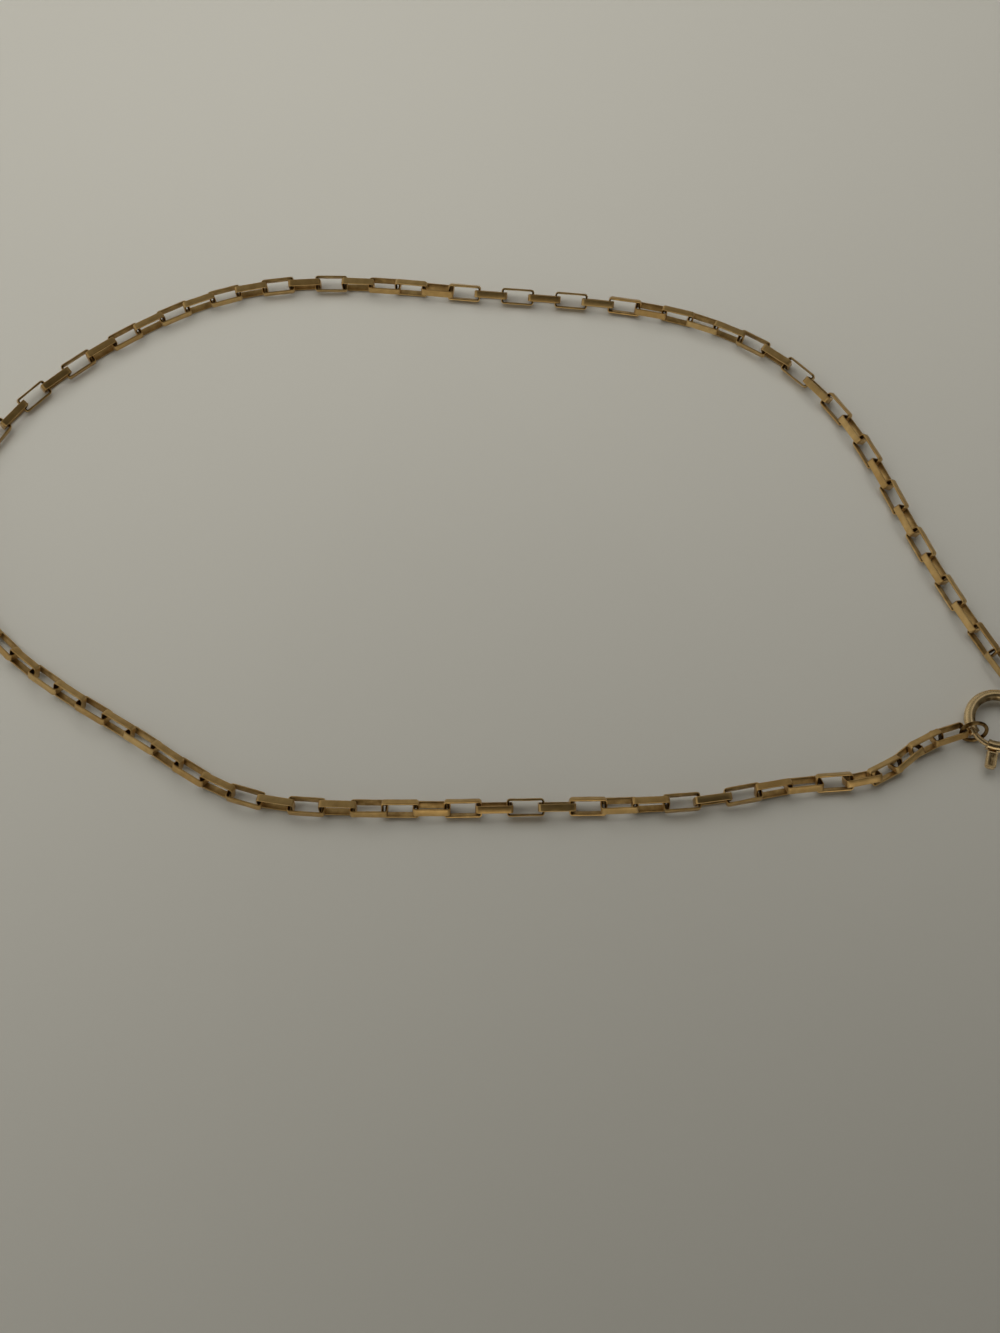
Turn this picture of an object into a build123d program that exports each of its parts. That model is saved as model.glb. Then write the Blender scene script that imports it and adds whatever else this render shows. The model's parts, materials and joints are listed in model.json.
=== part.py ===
from build123d import *
import math
import os
from collections import namedtuple

# Chain anklet lying on a flat surface. Millimetres, +Z up, +X along the loop's
# long way. The chain runs anticlockwise from the clasp's eyelet round the far
# side and back along the near side (-Y) to the end ring in the clasp.

# Chain: closed rectangular links bent from flat strip, each a quarter turn from the next
LINK_COUNT = 90
LINK_LENGTH = 3.36
LINK_WIDTH = 1.6
STRIP_DEPTH = 0.68
STRIP_THICKNESS = 0.2
LINK_CORNER_RADIUS = 0.32
FRONT_NODE_LINKS = 45

# Where links are pushed together beside the end ring
SLACK_LINKS = 5
SLACK_PITCH = 2.3
HOOK_LIFT = 0.3
LIFTED_LINKS = 3

# Bolt ring clasp: a bent tube with a gap that a sliding tongue closes
CLASP_X = 46.4
CLASP_Y = -19.95
CLASP_HEIGHT = 0.95
RING_RADIUS = 2.5
TUBE_RADIUS = 0.5
BORE_RADIUS = 0.35
GAP_START = 209.0
GAP_END = 241.0

# Eyelet soldered outside the tube, for the first link
EYELET_ANGLE = 25.0
EYELET_RADIUS = 0.75
EYELET_WIRE_RADIUS = 0.2
EYELET_SOLDER_OVERLAP = 0.1

# Tongue and thumb tab, which slide inside the tube and its outer slot
TONGUE_RADIUS = 0.25
TONGUE_INSERTION = 5.0
TONGUE_TAIL = 11.0
TRIGGER_TRAVEL = 37.0
TAB_ANGLE = 254.0
TAB_WIDTH = 0.95
TAB_THICKNESS = 0.45
TAB_START = 3.1
TAB_END = 4.7
TAB_CORNER_RADIUS = 0.3
TAB_GROOVE_WIDTH = 0.3
TAB_GROOVE_DEPTH = 0.1
NECK_WIDTH = 0.6
NECK_THICKNESS = 0.3
SLOT_CLEARANCE = 0.1
SLOT_END_CLEARANCE = 2.0

# End ring: the jump ring on the last link, hooked round the tongue
END_RING_RADIUS = 1.12
END_RING_WIRE_RADIUS = 0.18
END_RING_ANGLE = 205.5
END_RING_REACH = 2.61
END_RING_RISE = 0.27
END_RING_TILT = 66.8

RouteStation = namedtuple("RouteStation", "x y")
ROUTE = [
    RouteStation(49.69, -17.99),
    RouteStation(46.7, -12.9),
    RouteStation(43.0, -5.4),
    RouteStation(40.0, 2.0),
    RouteStation(36.8, 9.8),
    RouteStation(32.3, 16.5),
    RouteStation(25.8, 21.7),
    RouteStation(18.3, 24.6),
    RouteStation(10.0, 26.0),
    RouteStation(-0.9, 27.0),
    RouteStation(-12.2, 28.1),
    RouteStation(-20.6, 28.0),
    RouteStation(-28.6, 26.1),
    RouteStation(-35.8, 22.2),
    RouteStation(-42.5, 17.0),
    RouteStation(-46.2, 13.1),
    RouteStation(-49.7, 6.7),
    RouteStation(-50.4, -0.6),
    RouteStation(-48.2, -7.7),
    RouteStation(-43.4, -13.3),
    RouteStation(-36.8, -18.0),
    RouteStation(-29.6, -22.4),
    RouteStation(-22.7, -26.5),
    RouteStation(-17.4, -27.8),
    RouteStation(-12.0, -28.1),
    RouteStation(-1.0, -28.1),
    RouteStation(10.3, -27.9),
    RouteStation(21.0, -27.2),
    RouteStation(29.5, -25.8),
    RouteStation(34.6, -25.2),
    RouteStation(36.8, -24.1),
    RouteStation(38.6, -22.7),
    RouteStation(40.71, -21.63),
    RouteStation(42.89, -20.91),
]

# Roll of the chain about its own line: 0 lays an even link flat, 90 stands it up
RollStation = namedtuple("RollStation", "link roll")
ROLL = [
    RollStation(0, -90),
    RollStation(3, -52),
    RollStation(12, -48),
    RollStation(16, -12),
    RollStation(18, 14),
    RollStation(19, 8),
    RollStation(22, 50),
    RollStation(26, 51),
    RollStation(27, 42),
    RollStation(28, 26),
    RollStation(29, 10),
    RollStation(30, 8),
    RollStation(32, -26),
    RollStation(36, -4),
    RollStation(40, -4),
    RollStation(44, -38),
    RollStation(56, 60),
    RollStation(60, 60),
    RollStation(61, 52),
    RollStation(62, 62),
    RollStation(63, 55),
    RollStation(64, 68),
    RollStation(66, 84),
    RollStation(68, 78),
    RollStation(70, 54),
    RollStation(72, 41),
    RollStation(74, 20),
    RollStation(75, 24),
    RollStation(76, 42),
    RollStation(77, 56),
    RollStation(79, 90),
    RollStation(80, 98),
    RollStation(82, 69),
    RollStation(83, 52),
    RollStation(84, 38),
    RollStation(85, 38),
    RollStation(89, 60),
]


def chain_roll(link):
    """Roll of the chain at a link, between the two nearest stations."""
    for low, high in zip(ROLL, ROLL[1:]):
        if link <= high.link:
            share = (link - low.link) / (high.link - low.link)
            return low.roll + share * (high.roll - low.roll)
    return ROLL[-1].roll


def link_roll(link):
    """Angle of a link's width above the horizontal."""
    return chain_roll(link) + 90 * (link % 2)


def rest_height(roll):
    """Height of a link's middle when it rests at this roll on the surface."""
    width_part = LINK_WIDTH / 2 * abs(math.sin(math.radians(roll)))
    depth_part = STRIP_DEPTH / 2 * abs(math.cos(math.radians(roll)))
    return width_part + depth_part


def joint_height(joint):
    """Height of the chain's line where two links meet."""
    neighbours = [link for link in (joint - 1, joint) if 0 <= link < LINK_COUNT]
    height = max(rest_height(link_roll(link)) for link in neighbours)
    share = max(0, joint - (LINK_COUNT - LIFTED_LINKS)) / LIFTED_LINKS
    return height + HOOK_LIFT * share


def chain_joints():
    """Points where neighbouring links cross, evenly spaced along the route."""
    route = Spline(*[(station.x, station.y) for station in ROUTE])
    slack_length = SLACK_LINKS * SLACK_PITCH
    pitch = (route.length - slack_length) / (LINK_COUNT - SLACK_LINKS)
    print(f"route {route.length:.2f} mm, pitch {pitch:.3f} mm")
    joints = []
    travelled = 0.0
    for joint in range(LINK_COUNT + 1):
        point = route.position_at(min(1, travelled / route.length))
        joints.append(Vector(point.X, point.Y, joint_height(joint)))
        travelled += pitch if joint < LINK_COUNT - SLACK_LINKS else SLACK_PITCH
    return joints


def link_plane(start, end, roll):
    """Plane of a link: X along the chain, Y along its width."""
    along = (end - start).normalized()
    inward = Vector(0, 0, 1).cross(along).normalized()
    upward = along.cross(inward)
    angle = math.radians(roll)
    across = inward * math.cos(angle) + upward * math.sin(angle)
    return Plane(origin=(start + end) / 2, x_dir=along, z_dir=along.cross(across))


def make_link():
    """One closed link in the XY plane, its length along X."""
    inner_length = LINK_LENGTH - 2 * STRIP_THICKNESS
    inner_width = LINK_WIDTH - 2 * STRIP_THICKNESS
    inner_corner = LINK_CORNER_RADIUS - STRIP_THICKNESS
    outline = RectangleRounded(LINK_LENGTH, LINK_WIDTH, LINK_CORNER_RADIUS)
    window = RectangleRounded(inner_length, inner_width, inner_corner)
    return extrude(outline - window, STRIP_DEPTH / 2, both=True)


def make_chain():
    """All the links, each interlocked with the next and clear of it."""
    joints = chain_joints()
    links = []
    for number in range(LINK_COUNT):
        plane = link_plane(joints[number], joints[number + 1], link_roll(number))
        links.append(plane.location * make_link())
    return links


def ring_point(radius, angle):
    """Point in the clasp ring's own plane."""
    turn = math.radians(angle)
    return Vector(radius * math.cos(turn), radius * math.sin(turn), 0)


def bent_rod(rod_radius, start_angle, end_angle):
    """Round rod bent along the clasp ring's circle."""
    section = Plane.XZ * Pos(RING_RADIUS, 0) * Circle(rod_radius)
    rod = revolve(section, Axis.Z, end_angle - start_angle)
    return Rot(0, 0, start_angle) * rod


def radial_block(start_radius, end_radius, width, thickness, angle):
    """Block that points out from the clasp ring's middle."""
    length = end_radius - start_radius
    block = Pos((start_radius + end_radius) / 2, 0) * Box(length, width, thickness)
    return Rot(0, 0, angle) * block


def make_eyelet():
    """Wire loop outside the tube, sunk a little into its wall."""
    reach = RING_RADIUS + TUBE_RADIUS + EYELET_RADIUS + EYELET_WIRE_RADIUS
    place = ring_point(reach - EYELET_SOLDER_OVERLAP, EYELET_ANGLE)
    return Pos(place) * Torus(EYELET_RADIUS, EYELET_WIRE_RADIUS)


def make_slot():
    """Cutter for the slot in the tube's outer wall that the neck slides in."""
    half_neck = math.degrees(NECK_WIDTH / 2 / RING_RADIUS)
    start = TAB_ANGLE - half_neck - SLOT_END_CLEARANCE
    sweep = TRIGGER_TRAVEL + 2 * (half_neck + SLOT_END_CLEARANCE)
    height = NECK_THICKNESS + 2 * SLOT_CLEARANCE
    section = Plane.XZ * Pos(RING_RADIUS + TUBE_RADIUS, 0) * Rectangle(2 * TUBE_RADIUS, height)
    return Rot(0, 0, start) * revolve(section, Axis.Z, sweep)


def make_clasp_ring():
    """Hollow tube with its gap, slot and eyelet."""
    tube = bent_rod(TUBE_RADIUS, GAP_END, GAP_START + 360)
    bore = bent_rod(BORE_RADIUS, GAP_END, GAP_START + 360)
    return tube - bore - make_slot() + make_eyelet()


def make_tab():
    """Flat thumb tab with rounded outer corners and a groove in both faces."""
    length = TAB_END - TAB_START
    plate = Box(length, TAB_WIDTH, TAB_THICKNESS)
    outer_edges = plate.edges().filter_by(Axis.Z).group_by(Axis.X)[-1]
    plate = fillet(outer_edges, TAB_CORNER_RADIUS)
    groove_length = length - 2 * TAB_GROOVE_WIDTH
    for side in (-1, 1):
        groove = Box(groove_length, TAB_GROOVE_WIDTH, 2 * TAB_GROOVE_DEPTH)
        plate -= Pos(0, 0, side * TAB_THICKNESS / 2) * groove
    return Rot(0, 0, TAB_ANGLE) * Pos((TAB_START + TAB_END) / 2, 0) * plate


def make_trigger():
    """Tongue that closes the gap, with the neck and tab that draw it back."""
    tongue = bent_rod(TONGUE_RADIUS, GAP_START - TONGUE_INSERTION, TAB_ANGLE + TONGUE_TAIL)
    neck = radial_block(RING_RADIUS, TAB_START, NECK_WIDTH, NECK_THICKNESS, TAB_ANGLE)
    return tongue + neck + make_tab()


def make_end_ring():
    """Jump ring leaning round the tongue."""
    place = ring_point(END_RING_REACH, END_RING_ANGLE) + Vector(0, 0, END_RING_RISE)
    return Pos(place) * Rot(END_RING_TILT, 0, 0) * Torus(END_RING_RADIUS, END_RING_WIRE_RADIUS)


def main():
    links = make_chain()
    at_clasp = Pos(CLASP_X, CLASP_Y, CLASP_HEIGHT)
    parts = {
        "chain_back": Compound(links[:-FRONT_NODE_LINKS]),
        "chain_front": Compound(links[-FRONT_NODE_LINKS:]),
        "end_ring": at_clasp * make_end_ring(),
        "clasp_ring": at_clasp * make_clasp_ring(),
        "clasp_trigger": at_clasp * make_trigger(),
    }
    whole = Compound(list(parts.values())).bounding_box()
    middle = whole.center()
    to_origin = Pos(-middle.X, -middle.Y, -whole.min.Z)
    print(f"moved by {-middle.X:.3f}, {-middle.Y:.3f}, {-whole.min.Z:.3f}")
    os.makedirs("parts", exist_ok=True)
    for name, shape in parts.items():
        export_step(to_origin * shape, f"parts/{name}.step")


main()
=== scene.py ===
import json
import math
import random

import bmesh
import bpy
import numpy as np
from mathutils import Matrix, Vector


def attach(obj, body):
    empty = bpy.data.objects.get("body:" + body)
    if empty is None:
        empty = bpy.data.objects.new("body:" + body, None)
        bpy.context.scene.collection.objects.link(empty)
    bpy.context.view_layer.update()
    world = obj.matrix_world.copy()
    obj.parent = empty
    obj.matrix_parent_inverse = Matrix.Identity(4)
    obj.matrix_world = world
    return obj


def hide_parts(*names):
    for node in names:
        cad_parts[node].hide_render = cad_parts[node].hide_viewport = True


# Looks of the chain anklet. Lengths are named in millimetres and angles in degrees;
# Blender works in metres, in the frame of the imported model.

MM = 0.001

# How far a dressed skin stays inside the solid that it replaces
SKIN_MARGIN = 0.004

# Corners of a rectangle, anticlockwise from the lower right: side, level and the arc's first angle
CORNERS = ((1, -1, 270), (1, 1, 0), (-1, 1, 90), (-1, -1, 180))

# Chain link: a closed rectangle of flat strip, with softened edges
STRIP_THICKNESS = 0.2
STRIP_EDGE_RADIUS = 0.06
LINK_CORNER_RADIUS = 0.32
CORNER_STEPS = 5
LONG_SIDE_STEPS = 8
SHORT_SIDE_STEPS = 4
EDGE_STEPS = 3

# How far one link may differ from the next, well inside the gaps between them
SIDE_BOW = 0.018
STRIP_UNEVENNESS = 0.006
LINK_TWIST = 1.2
GRAIN_SHIFT = 50

# Slow wave in the strip's thickness, in radians per millimetre along and across the link
WAVE_ALONG = 3
WAVE_ACROSS = 2

# End ring: a jump ring whose ends meet in a fine seam
SEAM_WIDTH = 0.03
SEAM_DEPTH = 0.05
END_RING_STEPS = 72
WIRE_STEPS = 16

# Clasp ring: the tube, its gap, its outer slot and the eyelet
RING_RADIUS = 2.5
TUBE_RADIUS = 0.5
BORE_RADIUS = 0.35
GAP_START = 209.0
GAP_END = 241.0
SLOT_START = 245.1
SLOT_END = 299.9
SLOT_HEIGHT = 0.5
RIM_BEVEL = 0.03
RIM_SEGMENTS = 3
RIM_SHARPNESS = 50
TUBE_STEP = 3.0
TUBE_SIDES = 28
SLOT_SIDES = 4
SLOT_SLACK = 0.01
EYELET_ANGLE = 25.0
EYELET_RADIUS = 0.749
EYELET_WIRE_RADIUS = 0.2
EYELET_REACH = 3.85
EYELET_STEPS = 56
SOLDER_SWELL = 0.05
SOLDER_SPREAD = 24.0

# Trigger: the tongue in the tube, and the neck that carries the thumb tab
TONGUE_RADIUS = 0.25
TONGUE_START = 204.0
TONGUE_END = 265.0
TONGUE_STEP = 2.5
TIP_ROUND = 0.16
TIP_SHARES = (0.0, 0.3, 0.6, 0.85)
TAB_ANGLE = 254.0
TAB_WIDTH = 0.95
TAB_THICKNESS = 0.45
TAB_START = 3.1
TAB_END = 4.7
TAB_CORNER_RADIUS = 0.3
TAB_EDGE_RADIUS = 0.07
TAB_EDGE_STEPS = 4
GROOVE_MARGIN = 0.3
GROOVE_WIDTH = 0.3
GROOVE_DEPTH = 0.1
GROOVE_END_GAP = 0.01
NECK_WIDTH = 0.6
NECK_THICKNESS = 0.3
NECK_OVERLAP = 0.1
SMALL_CORNER = 0.02
OUTLINE_STEPS = 6

# Wall of the groove: share of its depth, and how far it has moved inward
GROOVE_PROFILE = ((0, 0), (0.3, 0.02), (0.9, 0.06), (1, 0.1))

# How near to the groove's edge a point counts as inside it
GROOVE_SLACK = 0.002

# Tarnish and painted shade, from 0 for clean gold to 1; the links' inner faces and the tube's inner side
# carry painted shade, and the end ring is darkened all over with it
LINK_GRIME = 0.1
# Links: tarnish, with painted shade on the inner faces that is strongest at the inner ends where the next
# links sit
LINK_INSIDE_SHADE_AND_TARNISH = 0.15
LINK_INNER_END_SHADE_AND_TARNISH = 0.8
# The end ring is darkened all over with painted shade
END_RING_PAINTED_SHADE = 0.65
CLASP_GRIME = 0.1
# Painted shade on the tube's inner side
INNER_SIDE_PAINTED_SHADE = 0.75
GROOVE_GRIME = 1.0
GROOVE_RIM_GRIME = 0.6

# Tone of a piece that isn't a link; each link has its own, from 0 to 1
PLAIN_TONE = 0.5

# Grain of the gold, in features per millimetre; the drawing lines are stretched along each piece
BLOTCHES = 1.3
SPECKS = 9.0
LINES = 16.0
LINE_STRETCH = (0.12, 1, 1)
GRAIN_HEIGHT = 0.004

# How blotches and a link's own tone warm the clean gold
BLOTCH_BLUSH = 0.7
TONE_BLUSH = 0.4
BLUSH_RANGE = (0.3, 0.75)

# How blotches break up the tarnish and painted shade, how worn edges lose it, and how rough it is
PATCH_RANGE = (0.3, 0.65)
PATCH_COVER = (0.45, 1.6)
WEAR_CLEANS = 0.25
TARNISH_ROUGHNESS = 0.22

# How much the specks smooth and roughen the gold
SPECK_RANGE = (0.3, 0.7)
SPECK_SMOOTHS = 0.06
SPECK_ROUGHENS = 0.08

# Golds of the chain and of the clasp's two pieces
CHAIN_GOLD = {
    "light": (0.76, 0.53, 0.235, 1), "warm": (0.65, 0.42, 0.165, 1), "tarnish_and_shade_colour": (0.09, 0.045, 0.010, 1),
    "roughness": 0.34, "tarnish_and_shade_strength": 1.15, "relief_strength": 0.35}
CLASP_GOLD = {
    "light": (0.88, 0.70, 0.42, 1), "warm": (0.82, 0.61, 0.33, 1), "tarnish_and_shade_colour": (0.10, 0.055, 0.015, 1),
    "roughness": 0.26, "tarnish_and_shade_strength": 0.9, "relief_strength": 0.12}
TRIGGER_GOLD = {
    "light": (0.86, 0.67, 0.39, 1), "warm": (0.78, 0.56, 0.29, 1), "tarnish_and_shade_colour": (0.10, 0.055, 0.015, 1),
    "roughness": 0.26, "tarnish_and_shade_strength": 0.9, "relief_strength": 0.12}

# Table top: its half width in metres, and its clouds in features per metre
FLOOR_HALF = 1.2
FLOOR_PALE = (0.64, 0.635, 0.60, 1)
FLOOR_DULL = (0.61, 0.605, 0.57, 1)
FLOOR_CLOUDS = 14.0
FLOOR_ROUGHNESS = 0.45
FLOOR_SHINE = 0.25

# Room light: its strength at the walls and overhead, and its shares from the left and the right.
# Heights and reaches are parts of a direction of length 1.
ROOM_COLOUR = (1.0, 0.95, 0.82, 1)
WALL_LEVEL = 0.28
WALL_HEIGHT = 0.15
CEILING_LEVEL = 0.14
CEILING_HEIGHT = 0.85
LEFT_SHARE = 2.0
RIGHT_SHARE = 0.4
SIDE_REACH = 0.9

# Area lights, with powers in watts
KEY_LIGHT = {"place": (-35, 60, 145), "target": (-25, 50, 0), "size": (300, 280),
             "power": 0.29, "colour": (1.0, 0.975, 0.91)}
LOW_LIGHT = {"place": (60, -330, 150), "target": (0, -10, 0), "size": (300, 120),
             "power": 0.09, "colour": (1.0, 0.90, 0.72)}
SIDE_LIGHT = {"place": (95, 35, 130), "target": (46, -20, 0), "size": (70, 70),
              "power": 0.006, "colour": (1.0, 0.95, 0.84)}

# Dark card over the near right side, beside the camera
CARD_MIDDLE = (35.0, -90.0, 124.0)
CARD_SIZE = (190.0, 180.0)
CARD_COLOUR = (0.03, 0.028, 0.024, 1)
CARD_ROUGHNESS = 0.8

# A slanting direction that tells one end of an axis from the other
FORWARD = np.array((1.0, 0.37, 0.21))

# Camera
CAMERA_PLACE = Vector((1.75, -63.638, 119.602)) * MM
CAMERA_TILT = 22.424
LENS = 37.8
NEAREST_SEEN = 1.0

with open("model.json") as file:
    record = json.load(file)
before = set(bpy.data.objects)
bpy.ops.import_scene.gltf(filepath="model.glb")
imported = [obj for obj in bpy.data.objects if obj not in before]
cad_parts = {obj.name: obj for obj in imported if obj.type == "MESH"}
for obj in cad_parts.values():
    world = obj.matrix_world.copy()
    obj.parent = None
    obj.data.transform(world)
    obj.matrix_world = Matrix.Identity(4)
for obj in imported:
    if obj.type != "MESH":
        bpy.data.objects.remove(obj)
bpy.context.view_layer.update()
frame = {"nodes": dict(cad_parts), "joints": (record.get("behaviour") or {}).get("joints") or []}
dice = random.Random(7)


# ---------------------------------------------------------------- mesh tools


def loft(rings, closed):
    """Points and faces of a skin over equal rings of points, with flat caps if it is open."""
    count = len(rings[0])
    points = [point for ring in rings for point in ring]
    faces = []
    last = len(rings) if closed else len(rings) - 1
    for row in range(last):
        low = row * count
        high = (row + 1) % len(rings) * count
        for step in range(count):
            ahead = (step + 1) % count
            faces.append((low + step, low + ahead, high + ahead, high + step))
    if not closed:
        faces.append(tuple(reversed(range(count))))
        faces.append(tuple(range((len(rings) - 1) * count, len(rings) * count)))
    return points, faces


def make_object(name, points, faces):
    """Mesh object from points in metres, its faces turned outward and shaded smooth."""
    mesh = bpy.data.meshes.new(name)
    mesh.from_pydata([tuple(point) for point in points], [], faces)
    bm = bmesh.new()
    bm.from_mesh(mesh)
    bmesh.ops.recalc_face_normals(bm, faces=bm.faces)
    for face in bm.faces:
        face.smooth = True
    bm.to_mesh(mesh)
    bm.free()
    piece = bpy.data.objects.new(name, mesh)
    bpy.context.scene.collection.objects.link(piece)
    return piece


def apply_modifiers(piece):
    """Keep what the modifiers make as the piece's own mesh."""
    shown = piece.evaluated_get(bpy.context.evaluated_depsgraph_get())
    made = bpy.data.meshes.new_from_object(shown)
    piece.modifiers.clear()
    piece.data = made


def fuse(piece, *others):
    """Join solids into one with a boolean union."""
    for other in others:
        union = piece.modifiers.new("Union", "BOOLEAN")
        union.operation = "UNION"
        union.solver = "EXACT"
        union.object = other
    apply_modifiers(piece)
    for other in others:
        bpy.data.objects.remove(other)
    for polygon in piece.data.polygons:
        polygon.use_smooth = True


def finish_piece(piece, body, material, node):
    """Give a piece its finish and its place in the frame."""
    piece.data.materials.clear()
    piece.data.materials.append(material)
    flat = piece.modifiers.new("Even faces", "WEIGHTED_NORMAL")
    flat.keep_sharp = False
    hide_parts(node)
    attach(piece, body)


def set_attribute(piece, name, kind, values):
    """Store one value or vector for each point of a piece."""
    attribute = piece.data.attributes.new(name, kind, "POINT")
    key = "vector" if kind == "FLOAT_VECTOR" else "value"
    attribute.data.foreach_set(key, np.asarray(values, np.float32).ravel())


def arc_points(centre, radius, start, end, steps):
    """Points along an arc in a plane, both ends included."""
    angles = np.radians(np.linspace(start, end, steps + 1))
    return [(centre[0] + radius * math.cos(a), centre[1] + radius * math.sin(a)) for a in angles]


def rounded_outline(width, height, radii, steps):
    """Closed outline of a rectangle, its corners rounded, anticlockwise from the lower right."""
    outline = []
    for (side, level, start), radius in zip(CORNERS, radii):
        centre = (side * (width / 2 - radius), level * (height / 2 - radius))
        outline += arc_points(centre, radius, start, start + 90, steps)
    return outline


# ---------------------------------------------------------------- the frame's solids


def solid_frames(node):
    """Place of each loose solid in a CAD node: its middle, its axes and its extents."""
    bm = bmesh.new()
    bm.from_mesh(frame["nodes"][node].data)
    bmesh.ops.remove_doubles(bm, verts=bm.verts, dist=0.0001 * MM)
    bm.verts.index_update()
    bm.verts.ensure_lookup_table()
    seen = set()
    found = []
    for first in bm.verts:
        if first.index in seen:
            continue
        group = {first.index}
        fresh = [first]
        while fresh:
            vert = fresh.pop()
            for edge in vert.link_edges:
                other = edge.other_vert(vert)
                if other.index not in group:
                    group.add(other.index)
                    fresh.append(other)
        seen |= group
        found.append(measure_solid([bm.verts[index] for index in sorted(group)]))
    bm.free()
    return found


def measure_solid(verts):
    """Middle, axes from longest to shortest, and extents of a solid, from its skin's own moments."""
    faces = sorted({face for vert in verts for face in vert.link_faces}, key=lambda face: face.index)
    corners = np.array([[corner.co for corner in face.verts] for face in faces]) / MM
    areas = np.array([face.calc_area() for face in faces])
    middle = np.average(corners.mean(axis=1), axis=0, weights=areas)
    corners -= middle
    sums = corners.sum(axis=1)
    spread = np.einsum("f,fci,fcj->ij", areas, corners, corners)
    spread += np.einsum("f,fi,fj->ij", areas, sums, sums)
    axes = np.linalg.eigh(spread)[1].T[::-1].copy()
    for axis in axes[:2]:
        axis *= math.copysign(1, axis @ FORWARD)
    axes[2] = np.cross(axes[0], axes[1])
    along_axes = (np.array([vert.co for vert in verts]) / MM - middle) @ axes.T
    middle = middle + (along_axes.max(0) + along_axes.min(0)) / 2 @ axes
    return {"middle": middle * MM, "axes": axes, "size": np.ptp(along_axes, axis=0)}


def in_chain_order(links, start):
    """Links sorted by walking from each to its nearest neighbour."""
    left = list(links)
    here = np.array(start)
    ordered = []
    while left:
        gaps = [np.linalg.norm(link["middle"] - here) for link in left]
        ordered.append(left.pop(int(np.argmin(gaps))))
        here = ordered[-1]["middle"]
    return ordered


# ---------------------------------------------------------------- chain


def link_stations(length, width):
    """Middle line of the strip: places round it, and the outward direction at each."""
    radius = LINK_CORNER_RADIUS - STRIP_THICKNESS / 2
    reach = (length / 2 - radius, width / 2 - radius)
    side_steps = (SHORT_SIDE_STEPS, LONG_SIDE_STEPS, SHORT_SIDE_STEPS, LONG_SIDE_STEPS)
    stations = []
    for number, (side, level, start) in enumerate(CORNERS):
        centre = np.array((side * reach[0], level * reach[1]))
        for angle in np.radians(np.linspace(start, start + 90, CORNER_STEPS + 1)):
            outward = np.array((math.cos(angle), math.sin(angle)))
            stations.append((centre + radius * outward, outward))
        following = CORNERS[(number + 1) % len(CORNERS)]
        ahead = np.array((following[0] * reach[0], following[1] * reach[1]))
        for step in range(1, side_steps[number]):
            share = step / side_steps[number]
            middle = centre + (ahead - centre) * share
            stations.append((middle + radius * outward, outward))
    return stations


def make_link(place, points, faces, notes):
    """Add one link, a little different from the others, to the growing mesh."""
    limit = place["size"] / 2 - SKIN_MARGIN
    length, width, depth = 2 * limit
    bow = dice.uniform(-SIDE_BOW, SIDE_BOW / 2)
    twist = math.radians(dice.uniform(-LINK_TWIST, LINK_TWIST))
    wave = dice.uniform(0, 2 * math.pi)
    tone = dice.random()
    shift = np.array([dice.uniform(0, GRAIN_SHIFT) for _ in range(3)])
    rings = []
    profile = rounded_outline(STRIP_THICKNESS, depth, (STRIP_EDGE_RADIUS,) * 4, EDGE_STEPS)
    for spot, outward in link_stations(length - STRIP_THICKNESS, width - STRIP_THICKNESS):
        side = abs(outward[1])
        swing = bow * side * math.cos(math.pi * spot[0] / length)
        uneven = STRIP_UNEVENNESS * math.sin(wave + WAVE_ALONG * spot[0] + WAVE_ACROSS * spot[1])
        turn = twist * spot[0] / limit[0]
        ring = []
        for out, deep in profile:
            flat = spot + outward * (out + swing + uneven * np.sign(out))
            turned = (flat[1] * math.cos(turn) - deep * math.sin(turn),
                      flat[1] * math.sin(turn) + deep * math.cos(turn))
            local = np.array((flat[0], *turned))
            local = np.clip(local, -limit, limit)
            ring.append(place["middle"] + local * MM @ place["axes"])
            # Inner faces get painted shade, darkest at the inner ends where the next links sit, over a
            # little tarnish on every face
            inside = 1.0 if out < 0 else 0.0
            end = abs(outward[0])
            on_edge = abs(deep) > depth / 2 - STRIP_EDGE_RADIUS
            notes["tarnish_and_shade"].append(LINK_GRIME + inside * (LINK_INSIDE_SHADE_AND_TARNISH + LINK_INNER_END_SHADE_AND_TARNISH * end))
            notes["wear"].append(1.0 if out > 0 and on_edge else 0.0)
            notes["tone"].append(tone)
            notes["grain_mm"].append(local + shift)
        rings.append(ring)
    new_points, new_faces = loft(rings, closed=True)
    first = len(points)
    points += new_points
    faces += [tuple(first + corner for corner in face) for face in new_faces]


def make_chain(node, links, material):
    """All the links of one CAD node as one piece."""
    points, faces = [], []
    notes = {"tarnish_and_shade": [], "wear": [], "tone": [], "grain_mm": []}
    for place in links:
        make_link(place, points, faces, notes)
    piece = make_object(node + "_links", points, faces)
    for name in ("tarnish_and_shade", "wear", "tone"):
        set_attribute(piece, name, "FLOAT", notes[name])
    set_attribute(piece, "grain_mm", "FLOAT_VECTOR", notes["grain_mm"])
    finish_piece(piece, "anklet", material, node)


# ---------------------------------------------------------------- wire rings


def wire_ring(middle, axes, radius, wire_radius, steps):
    """Rings of points round a closed wire ring; wire_radius is a function of the angle."""
    rings = []
    for turn in steps:
        outward = axes[0] * math.cos(turn) + axes[1] * math.sin(turn)
        thick = wire_radius(turn)
        ring = []
        for step in range(WIRE_STEPS):
            around = 2 * math.pi * step / WIRE_STEPS
            offset = outward * (radius + thick * math.cos(around)) + axes[2] * thick * math.sin(around)
            ring.append(middle + offset * MM)
        rings.append(ring)
    return rings


def vertex_spots(piece):
    """Place of every vertex, in metres."""
    return np.array([vert.co for vert in piece.data.vertices])


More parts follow.
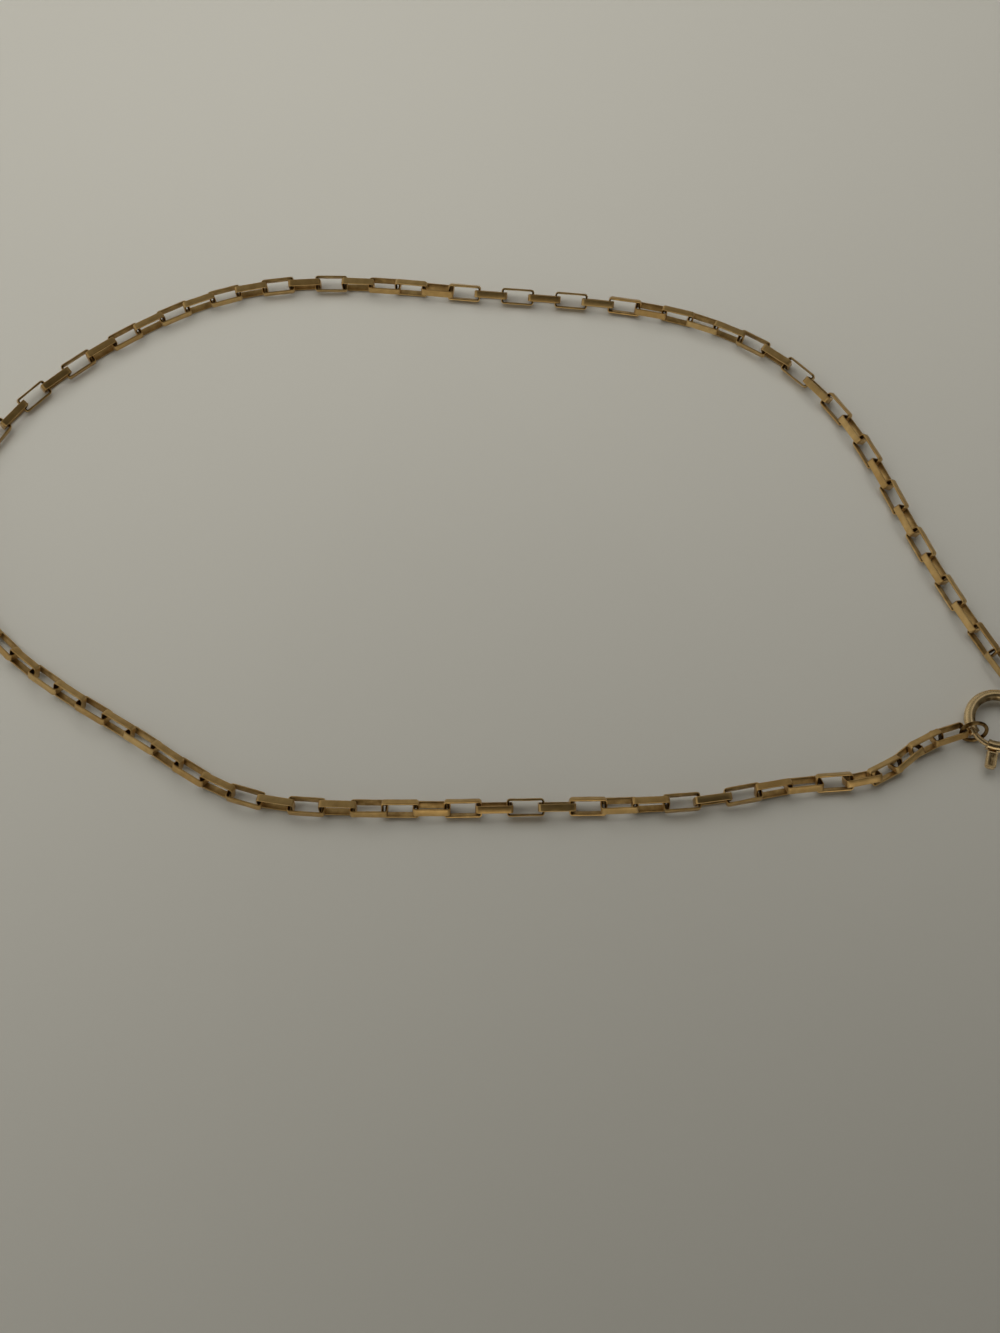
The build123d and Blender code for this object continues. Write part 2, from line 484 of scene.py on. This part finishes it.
def mark_metal(piece, tarnish_and_shade):
    """Attributes that the gold needs on a piece that isn't a link; its tarnish and painted shade is one
    value or one a vertex.
    """
    spots = vertex_spots(piece)
    count = len(spots)
    set_attribute(piece, "tarnish_and_shade", "FLOAT", np.full(count, tarnish_and_shade))
    set_attribute(piece, "wear", "FLOAT", np.zeros(count))
    set_attribute(piece, "tone", "FLOAT", np.full(count, PLAIN_TONE))
    set_attribute(piece, "grain_mm", "FLOAT_VECTOR", spots / MM)


def make_end_ring(material):
    """Jump ring with the fine seam where its wire's ends meet."""
    place = solid_frames("end_ring")[0]
    wire = place["size"][2] / 2 - SKIN_MARGIN
    radius = place["size"][0] / 2 - SKIN_MARGIN - wire

    def wire_radius(turn):
        from_seam = abs(math.remainder(turn, 2 * math.pi)) * radius
        return wire - SEAM_DEPTH * max(0.0, 1 - from_seam / SEAM_WIDTH)

    seam = SEAM_WIDTH / radius
    steps = [-seam, -seam / 2, 0, seam / 2]
    steps += list(np.linspace(seam, 2 * math.pi - seam, END_RING_STEPS)[:-1])
    points, faces = loft(wire_ring(place["middle"], place["axes"], radius, wire_radius, steps), True)
    piece = make_object("end_ring_wire", points, faces)
    # Painted shade darkens the whole ring
    mark_metal(piece, END_RING_PAINTED_SHADE)
    finish_piece(piece, "anklet", material, "end_ring")


# ---------------------------------------------------------------- clasp


def ring_spot(radius, angle, height=0.0):
    """Place in the clasp ring's own plane, in metres."""
    turn = math.radians(angle)
    return clasp_middle + Vector((radius * math.cos(turn), radius * math.sin(turn), height)) * MM


def tube_spot(wire_radius, angle, around):
    """Place on the skin of the bent tube; around is 0 at its outermost line."""
    out = math.cos(around) * wire_radius
    return ring_spot(RING_RADIUS + out, angle, math.sin(around) * wire_radius)


def make_tube():
    """Hollow bent tube, open at the gap and cut through along its slot."""
    angles = []
    for start, end in ((GAP_END, SLOT_START), (SLOT_START, SLOT_END), (SLOT_END, GAP_START + 360)):
        count = max(3, round((end - start) / TUBE_STEP))
        angles += list(np.linspace(start, end, count + 1)[:-1])
    angles.append(GAP_START + 360)
    slot_turn = math.asin(SLOT_HEIGHT / 2 / TUBE_RADIUS)
    around = list(np.linspace(-slot_turn, slot_turn, SLOT_SIDES + 1)[:-1])
    around += list(np.linspace(slot_turn, 2 * math.pi - slot_turn, TUBE_SIDES - SLOT_SIDES + 1)[:-1])
    points = [tube_spot(TUBE_RADIUS, angle, turn) for angle in angles for turn in around]
    faces = []
    for row in range(len(angles) - 1):
        in_slot = SLOT_START - SLOT_SLACK < angles[row] < SLOT_END - SLOT_SLACK
        for step in range(TUBE_SIDES):
            if in_slot and step < SLOT_SIDES:
                continue
            ahead = (step + 1) % TUBE_SIDES
            low, high = row * TUBE_SIDES, (row + 1) * TUBE_SIDES
            faces.append((low + step, low + ahead, high + ahead, high + step))
    tube = make_object("clasp_tube", points, faces)
    wall = tube.modifiers.new("Wall", "SOLIDIFY")
    wall.thickness = (TUBE_RADIUS - BORE_RADIUS) * MM
    wall.offset = -1
    rims = tube.modifiers.new("Rims", "BEVEL")
    rims.width = RIM_BEVEL * MM
    rims.segments = RIM_SEGMENTS
    rims.limit_method = "ANGLE"
    rims.angle_limit = math.radians(RIM_SHARPNESS)
    apply_modifiers(tube)
    return tube


def make_eyelet():
    """Wire loop soldered outside the tube, a little swollen at the joint."""
    middle = np.array(ring_spot(EYELET_REACH, EYELET_ANGLE))
    turn = math.radians(EYELET_ANGLE + 180)
    cosine, sine = math.cos(turn), math.sin(turn)
    axes = np.array(((cosine, sine, 0), (-sine, cosine, 0), (0, 0, 1)))

    def wire_radius(around):
        from_joint = math.degrees(abs(math.remainder(around, 2 * math.pi)))
        return EYELET_WIRE_RADIUS + SOLDER_SWELL * math.exp(-((from_joint / SOLDER_SPREAD) ** 2))

    steps = np.linspace(0, 2 * math.pi, EYELET_STEPS + 1)[:-1]
    points, faces = loft(wire_ring(middle, axes, EYELET_RADIUS, wire_radius, steps), True)
    return make_object("clasp_eyelet", points, faces)


def ring_tarnish_and_shade(ring):
    """A little tarnish all over, and painted shade that grows toward the tube's inner side."""
    offsets = (vertex_spots(ring) - np.array(clasp_middle)) / MM
    inward = (RING_RADIUS - np.hypot(offsets[:, 0], offsets[:, 1])) / TUBE_RADIUS
    return CLASP_GRIME + INNER_SIDE_PAINTED_SHADE * np.clip(inward, 0, 1)


def make_clasp_ring(material):
    """The bolt ring's body."""
    ring = make_tube()
    fuse(ring, make_eyelet())
    ring.name = "clasp_ring_body"
    mark_metal(ring, ring_tarnish_and_shade(ring))
    finish_piece(ring, "anklet", material, "clasp_ring")


def make_tongue():
    """Round rod inside the tube, its tip rounded over."""
    length = TONGUE_END - TONGUE_START
    degrees_per_mm = math.degrees(1 / RING_RADIUS)
    tip = TIP_ROUND * degrees_per_mm
    rings = []
    for share in TIP_SHARES:
        thick = TONGUE_RADIUS - TIP_ROUND * (1 - math.sqrt(1 - (1 - share) ** 2))
        rings.append((TONGUE_START + tip * share, thick))
    count = round((length - tip) / TONGUE_STEP)
    rings += [(angle, TONGUE_RADIUS) for angle in np.linspace(TONGUE_START + tip, TONGUE_END, count + 1)]
    turns = [2 * math.pi * step / WIRE_STEPS for step in range(WIRE_STEPS)]
    skin = [[tube_spot(thick, angle, turn) for turn in turns] for angle, thick in rings]
    points, faces = loft(skin, closed=False)
    return make_object("clasp_tongue", points, faces)


def radial_slab(levels, name):
    """Slab that points out from the clasp's middle at the tab's angle, from an outline at each height."""
    turn = Matrix.Rotation(math.radians(TAB_ANGLE), 3, "Z")
    rings = []
    for height, loop in levels:
        rings.append([clasp_middle + turn @ Vector((x, y, height)) * MM for x, y in loop])
    points, faces = loft(rings, closed=False)
    return make_object(name, points, faces)


def tab_loop(inset):
    """Outline of the thumb tab, moved inward."""
    corner = max(TAB_CORNER_RADIUS - inset, SMALL_CORNER)
    radii = (corner, corner, SMALL_CORNER, SMALL_CORNER)
    length = TAB_END - TAB_START - 2 * inset
    width = TAB_WIDTH - 2 * inset
    middle = (TAB_START + TAB_END) / 2
    outline = rounded_outline(length, width, radii, OUTLINE_STEPS)
    return [(middle + x, y) for x, y in outline]


def groove_loop(inset):
    """Outline of the groove in the tab's face."""
    length = TAB_END - TAB_START - 2 * GROOVE_MARGIN - 2 * inset
    width = GROOVE_WIDTH - 2 * inset
    middle = (TAB_START + TAB_END) / 2
    outline = rounded_outline(length, width, (width / 2 - GROOVE_END_GAP,) * 4, OUTLINE_STEPS)
    return [(middle + x, y) for x, y in outline]


def make_tab():
    """Flat thumb tab with rounded edges and a groove in both faces."""
    top = TAB_THICKNESS / 2
    edge = TAB_EDGE_RADIUS
    half = [(0, tab_loop(0))]
    for turn in np.radians(np.linspace(0, 90, TAB_EDGE_STEPS + 1)):
        half.append((top - edge + edge * math.sin(turn), tab_loop(edge * (1 - math.cos(turn)))))
    for share, inset in GROOVE_PROFILE:
        half.append((top - share * GROOVE_DEPTH, groove_loop(inset)))
    below = [(-height, loop) for height, loop in reversed(half[1:])]
    return radial_slab(below + half, "clasp_tab")


def make_neck():
    """Block that passes through the slot and joins the tongue to the tab."""
    length = TAB_START + NECK_OVERLAP - RING_RADIUS
    middle = RING_RADIUS + length / 2
    outline = rounded_outline(length, NECK_WIDTH, (SMALL_CORNER,) * 4, OUTLINE_STEPS)
    loop = [(middle + x, y) for x, y in outline]
    half = NECK_THICKNESS / 2
    return radial_slab([(-half, loop), (half, loop)], "clasp_neck")


def trigger_grime(trigger):
    """Tarnish in the tab's groove, and little of it elsewhere."""
    offsets = (vertex_spots(trigger) - np.array(clasp_middle)) / MM
    turn = math.radians(TAB_ANGLE)
    along = offsets[:, 0] * math.cos(turn) + offsets[:, 1] * math.sin(turn)
    across = offsets[:, 1] * math.cos(turn) - offsets[:, 0] * math.sin(turn)
    inside = np.abs(across) < GROOVE_WIDTH / 2 + GROOVE_SLACK
    inside &= along > TAB_START + GROOVE_MARGIN - GROOVE_SLACK
    inside &= along < TAB_END - GROOVE_MARGIN + GROOVE_SLACK
    sunk = np.abs(offsets[:, 2]) < TAB_THICKNESS / 2 - GROOVE_SLACK
    return np.where(inside, np.where(sunk, GROOVE_GRIME, GROOVE_RIM_GRIME), CLASP_GRIME)


def make_trigger(material):
    """Sliding piece of the clasp."""
    trigger = make_tongue()
    fuse(trigger, make_neck(), make_tab())
    trigger.name = "clasp_trigger_body"
    mark_metal(trigger, trigger_grime(trigger))
    finish_piece(trigger, "trigger", material, "clasp_trigger")


# ---------------------------------------------------------------- materials


def new_material(name):
    """Material with its node tree and its shader."""
    material = bpy.data.materials.new(name)
    material.use_nodes = True
    shader = material.node_tree.nodes["Principled BSDF"]
    return material, material.node_tree, shader


def add_node(tree, kind, inputs=(), **settings):
    """Node with settings; inputs are pairs of a socket and a value or an output to link."""
    node = tree.nodes.new(kind)
    for key, value in settings.items():
        setattr(node, key, value)
    for socket, value in inputs:
        if isinstance(value, bpy.types.NodeSocket):
            tree.links.new(value, node.inputs[socket])
        else:
            node.inputs[socket].default_value = value
    return node


def read_attribute(tree, name, output="Fac"):
    """Output of a point attribute."""
    return add_node(tree, "ShaderNodeAttribute", attribute_name=name).outputs[output]


def noise(tree, coordinates, scale, detail=2.0, stretch=(1, 1, 1)):
    """Noise value; scale is in features per millimetre."""
    mapping = add_node(tree, "ShaderNodeMapping", [("Vector", coordinates), ("Scale", stretch)])
    texture = add_node(tree, "ShaderNodeTexNoise",
                       [("Vector", mapping.outputs[0]), ("Scale", scale), ("Detail", detail)])
    return texture.outputs["Fac"]


def remap(tree, value, low, high, to_low=0.0, to_high=1.0):
    """Value moved from one range to another and held inside it."""
    return add_node(tree, "ShaderNodeMapRange", [
        ("Value", value), ("From Min", low), ("From Max", high),
        ("To Min", to_low), ("To Max", to_high)]).outputs[0]


def math_node(tree, operation, first, second):
    """Two values added, multiplied or otherwise combined, held between 0 and 1."""
    return add_node(tree, "ShaderNodeMath", [(0, first), (1, second)],
                    operation=operation, use_clamp=True).outputs[0]


def mix_colour(tree, share, first, second):
    """Colour between two others."""
    return add_node(tree, "ShaderNodeMix", [(0, share), (6, first), (7, second)],
                    data_type="RGBA").outputs[2]


def make_gold(name, light, warm, tarnish_and_shade_colour, roughness, tarnish_and_shade_strength, relief_strength):
    """Worn gold: drawing lines, fine scratches, and a brown cover that is tarnish where nothing rubs it
    and painted shade on shaded inner parts.
    """
    material, tree, shader = new_material(name)
    grain = read_attribute(tree, "grain_mm", "Vector")
    tarnish_and_shade = read_attribute(tree, "tarnish_and_shade")
    wear = read_attribute(tree, "wear")
    tone = read_attribute(tree, "tone")

    blotches = noise(tree, grain, BLOTCHES, 3.0)
    specks = noise(tree, grain, SPECKS, 4.0)
    lines = noise(tree, grain, LINES, 2.0, LINE_STRETCH)

    blush = math_node(tree, "ADD", math_node(tree, "MULTIPLY", blotches, BLOTCH_BLUSH),
                      math_node(tree, "MULTIPLY", tone, TONE_BLUSH))
    clean = mix_colour(tree, remap(tree, blush, *BLUSH_RANGE), light, warm)
    # The dark cover is tarnish, and painted shade on the pieces' shaded inner parts
    cover = math_node(tree, "MULTIPLY", tarnish_and_shade, remap(tree, blotches, *PATCH_RANGE, *PATCH_COVER))
    cover = math_node(tree, "MULTIPLY", cover, tarnish_and_shade_strength)
    cover = math_node(tree, "SUBTRACT", cover, math_node(tree, "MULTIPLY", wear, WEAR_CLEANS))
    tree.links.new(mix_colour(tree, cover, clean, tarnish_and_shade_colour), shader.inputs["Base Color"])

    rough = remap(tree, specks, *SPECK_RANGE, roughness - SPECK_SMOOTHS, roughness + SPECK_ROUGHENS)
    rough = math_node(tree, "ADD", rough, math_node(tree, "MULTIPLY", cover, TARNISH_ROUGHNESS))
    tree.links.new(rough, shader.inputs["Roughness"])
    shader.inputs["Metallic"].default_value = 1.0

    relief = math_node(tree, "ADD", math_node(tree, "MULTIPLY", lines, 0.5),
                       math_node(tree, "MULTIPLY", specks, 0.5))
    bump = add_node(tree, "ShaderNodeBump", [
        ("Strength", relief_strength), ("Distance", GRAIN_HEIGHT * MM), ("Height", relief)])
    tree.links.new(bump.outputs[0], shader.inputs["Normal"])
    return material


def make_floor_material():
    """Pale, slightly glossy table top."""
    material, tree, shader = new_material("floor")
    place = add_node(tree, "ShaderNodeTexCoord").outputs["Object"]
    clouds = add_node(tree, "ShaderNodeTexNoise",
                      [("Vector", place), ("Scale", FLOOR_CLOUDS), ("Detail", 2.0)])
    tint = mix_colour(tree, clouds.outputs["Fac"], FLOOR_PALE, FLOOR_DULL)
    tree.links.new(tint, shader.inputs["Base Color"])
    shader.inputs["Roughness"].default_value = FLOOR_ROUGHNESS
    shader.inputs["Specular IOR Level"].default_value = FLOOR_SHINE
    return material


# ---------------------------------------------------------------- room


def make_sheet(name, middle, size):
    """Flat rectangle that lies level; its middle and size are in metres."""
    half = Vector(size) / 2
    points = [middle + Vector((side * half.x, level * half.y, 0)) for side, level, _ in CORNERS]
    return make_object(name, points, [(0, 1, 2, 3)])


def make_floor():
    """Plane under the object, far larger than the view."""
    floor = make_sheet("floor", Vector((0, 0, 0)), (2 * FLOOR_HALF, 2 * FLOOR_HALF))
    floor.data.materials.append(make_floor_material())


def make_card():
    """Dark card that shades the near right side and shows dark in the metal, but not to the camera."""
    card = make_sheet("shade_card", Vector(CARD_MIDDLE) * MM, Vector(CARD_SIZE) * MM)
    material, _, shader = new_material("dark_card")
    shader.inputs["Base Color"].default_value = CARD_COLOUR
    shader.inputs["Roughness"].default_value = CARD_ROUGHNESS
    card.data.materials.append(material)
    card.visible_camera = False


def add_area_light(name, place, target, size, power, colour):
    """Soft rectangular light that points at a target; places are in millimetres."""
    light = bpy.data.lights.new(name, "AREA")
    light.shape = "RECTANGLE"
    light.size = size[0] * MM
    light.size_y = size[1] * MM
    light.energy = power
    light.color = colour
    lamp = bpy.data.objects.new(name, light)
    lamp.location = Vector(place) * MM
    aim = Vector(target) * MM - lamp.location
    lamp.rotation_euler = aim.to_track_quat("-Z", "Y").to_euler()
    bpy.context.scene.collection.objects.link(lamp)
    return lamp


def make_world():
    """Soft warm room: light walls, a darker ceiling, and more light from the left than from the right."""
    world = bpy.data.worlds.new("room")
    world.use_nodes = True
    tree = world.node_tree
    direction = add_node(tree, "ShaderNodeTexCoord").outputs["Generated"]
    parts = add_node(tree, "ShaderNodeSeparateXYZ", [(0, direction)]).outputs
    level = remap(tree, parts["Z"], WALL_HEIGHT, CEILING_HEIGHT, WALL_LEVEL, CEILING_LEVEL)
    share = remap(tree, parts["X"], -SIDE_REACH, SIDE_REACH, LEFT_SHARE, RIGHT_SHARE)
    level = math_node(tree, "MULTIPLY", level, share)
    backdrop = tree.nodes["Background"]
    backdrop.inputs["Color"].default_value = ROOM_COLOUR
    tree.links.new(level, backdrop.inputs["Strength"])
    bpy.context.scene.world = world


def make_lights():
    """Soft key overhead for the table, and a low and a small side light that glint in the metal."""
    add_area_light("key", **KEY_LIGHT).visible_glossy = False
    add_area_light("low", **LOW_LIGHT).visible_diffuse = False
    add_area_light("side", **SIDE_LIGHT).visible_diffuse = False


def make_camera():
    """Camera above the near side, looking down and away."""
    camera = bpy.data.cameras.new("camera")
    camera.lens = LENS
    camera.clip_start = NEAREST_SEEN * MM
    holder = bpy.data.objects.new("camera", camera)
    holder.location = CAMERA_PLACE
    holder.rotation_euler = (math.radians(CAMERA_TILT), 0, 0)
    bpy.context.scene.collection.objects.link(holder)
    bpy.context.scene.camera = holder


# ---------------------------------------------------------------- the whole

clasp_middle = Vector(frame["joints"][0]["pos_m"])

chain_gold = make_gold("chain_gold", **CHAIN_GOLD)
clasp_gold = make_gold("clasp_gold", **CLASP_GOLD)
trigger_gold = make_gold("trigger_gold", **TRIGGER_GOLD)

back_links = in_chain_order(solid_frames("chain_back"), clasp_middle)
front_links = in_chain_order(solid_frames("chain_front"), back_links[-1]["middle"])
make_chain("chain_back", back_links, chain_gold)
make_chain("chain_front", front_links, chain_gold)
make_end_ring(chain_gold)
make_clasp_ring(clasp_gold)
make_trigger(trigger_gold)

make_floor()
make_card()
make_world()
make_lights()
make_camera()
bpy.context.scene.view_settings.view_transform = "Standard"
